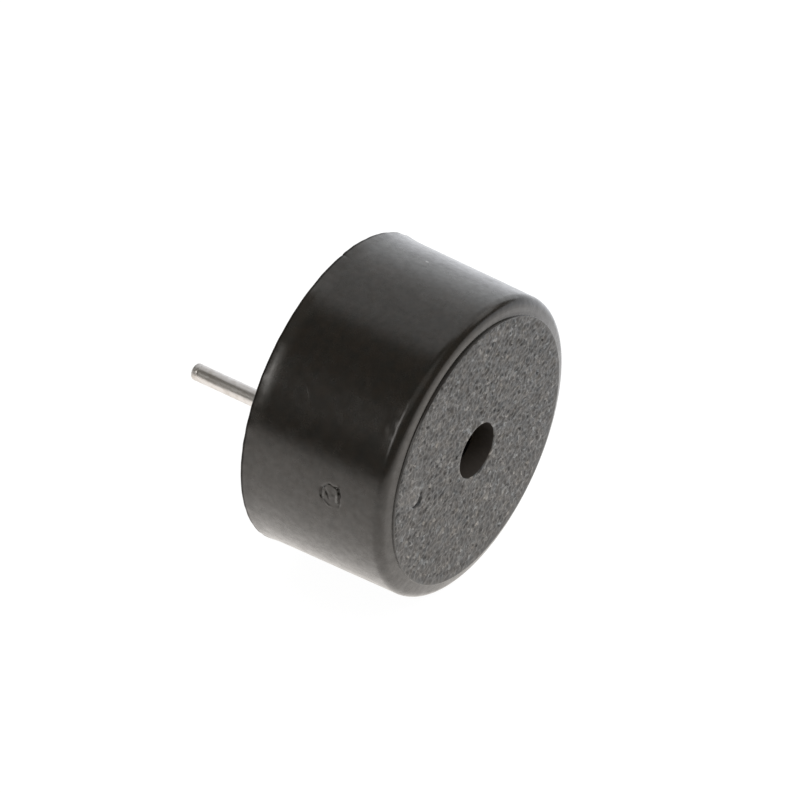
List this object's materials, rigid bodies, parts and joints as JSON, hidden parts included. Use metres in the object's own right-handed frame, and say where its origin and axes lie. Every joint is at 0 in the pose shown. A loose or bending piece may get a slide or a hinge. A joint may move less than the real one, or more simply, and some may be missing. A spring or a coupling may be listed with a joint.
{
  "type": "piezo buzzer",
  "caption": "Round black pin-terminal piezo buzzer: moulded cup with a sound hole in its textured raised face, bonded piezo diaphragm, base plate, contact springs and round solder pins.",
  "frame": {"origin": "centre of the rear rim, in the plane that sits on the circuit board", "axes": "+Z along the axis of the case towards the sound hole; +X from the axis towards the pin of the brass plate"},
  "size_m": [0.013, 0.013, 0.011],
  "materials": {
    "case_plastic": "satin black moulded plastic, spark-eroded texture on the front face",
    "base_plastic": "matte black moulded plastic",
    "resin": "cured glossy black resin",
    "brass_sheet": "rolled brass sheet",
    "piezo_ceramic": "fired piezo ceramic",
    "silver_film": "fired silver film",
    "silicone": "cured translucent white silicone",
    "tinned_wire": "bright tin-plated wire",
    "spring_bronze": "rolled phosphor bronze strip"
  },
  "bodies": {
    "root": {"case": "case_plastic", "base_plate": "base_plastic", "joint_bead": "resin", "diaphragm_plate": "brass_sheet", "piezo_disc": "piezo_ceramic", "electrode_film": "silver_film", "bond_ring": "silicone", "plate_pin": "tinned_wire", "electrode_pin": "tinned_wire", "plate_spring": "spring_bronze", "electrode_spring": "spring_bronze"}
  },
  "joints": []
}
